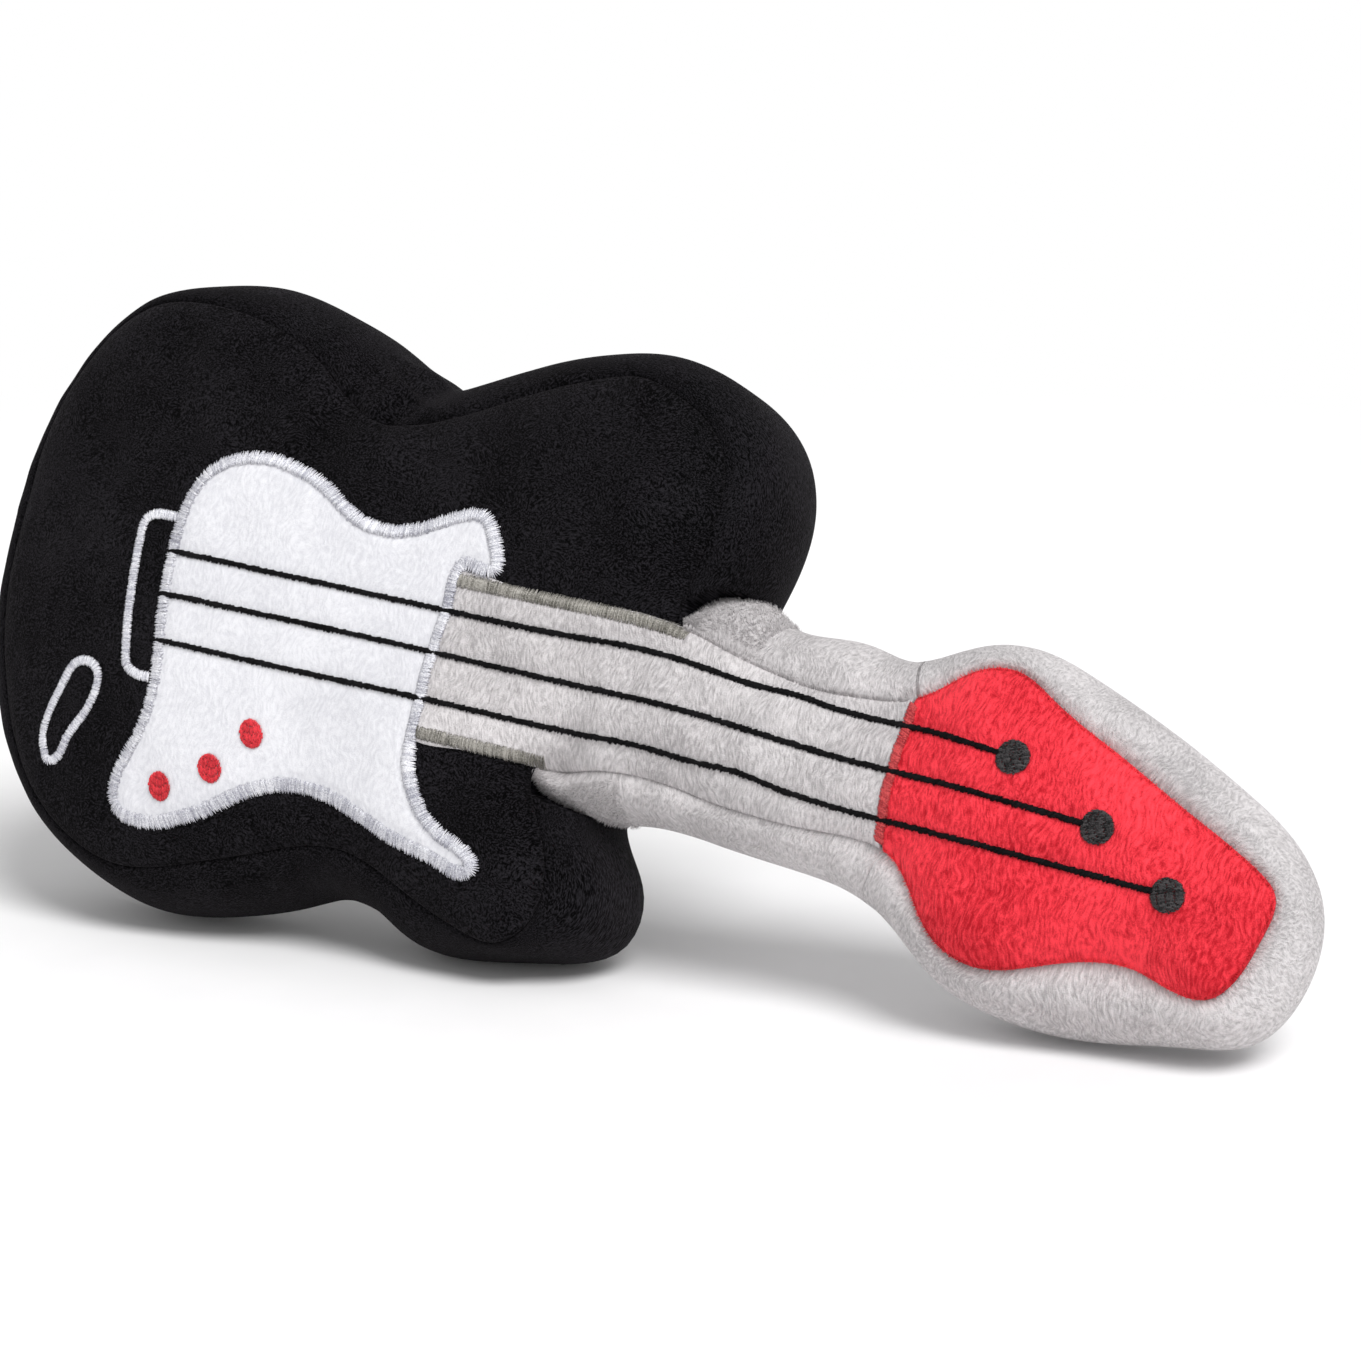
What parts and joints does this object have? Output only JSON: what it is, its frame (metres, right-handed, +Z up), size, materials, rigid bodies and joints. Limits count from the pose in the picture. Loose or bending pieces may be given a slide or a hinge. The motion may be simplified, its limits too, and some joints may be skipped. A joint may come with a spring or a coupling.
{
  "type": "plush toy guitar",
  "caption": "Stuffed plush toy electric guitar with sewn panels, an applique pickguard, embroidered strings, knobs and tuners, standing on its treble edge.",
  "frame": {"origin": "centre of the bounding box on the floor the toy stands on", "axes": "+X towards the head, -Y towards the viewer of the front, +Z up; the toy stands on its treble edge and leans back"},
  "size_m": [0.4562, 0.1214, 0.2046],
  "materials": {
    "body_minky": "short-pile plush, black, soft sheen",
    "stuffing": "loose polyester fibre fill",
    "pickguard_minky": "short-pile plush, white",
    "satin_silver": "satin stitch in metallic silver thread",
    "satin_warm_grey": "satin stitch in warm grey metallic thread",
    "neck_minky": "short-pile plush, light warm grey",
    "head_minky": "short-pile plush, red",
    "satin_red": "satin and fill stitch in red thread",
    "thread_black": "embroidery and sewing thread, black"
  },
  "bodies": {
    "root": {"body_front_panel": "body_minky", "body_gusset": "body_minky", "body_back_panel": "body_minky", "body_stuffing": "stuffing", "neck_and_head_stuffing": "stuffing", "pickguard": "pickguard_minky", "pickguard_border_stitch": "satin_silver", "pocket_stitch": "satin_silver", "bridge_outline_stitch": "satin_silver", "jack_outline_stitch": "satin_silver", "fretboard_edge_stitch_upper": "satin_warm_grey", "fretboard_edge_stitch_lower": "satin_warm_grey", "neck_front_panel": "neck_minky", "neck_gusset_upper": "neck_minky", "neck_gusset_lower": "neck_minky", "neck_back_panel": "neck_minky", "head_gusset": "neck_minky", "head_back_panel": "neck_minky", "head_front_panel": "head_minky", "nut_stitch": "satin_red", "knob_dot_1": "satin_red", "knob_dot_2": "satin_red", "knob_dot_3": "satin_red", "string_1": "thread_black", "string_2": "thread_black", "string_3": "thread_black", "tuner_dot_1": "thread_black", "tuner_dot_2": "thread_black", "tuner_dot_3": "thread_black", "closing_stitches": "thread_black"}
  },
  "joints": []
}
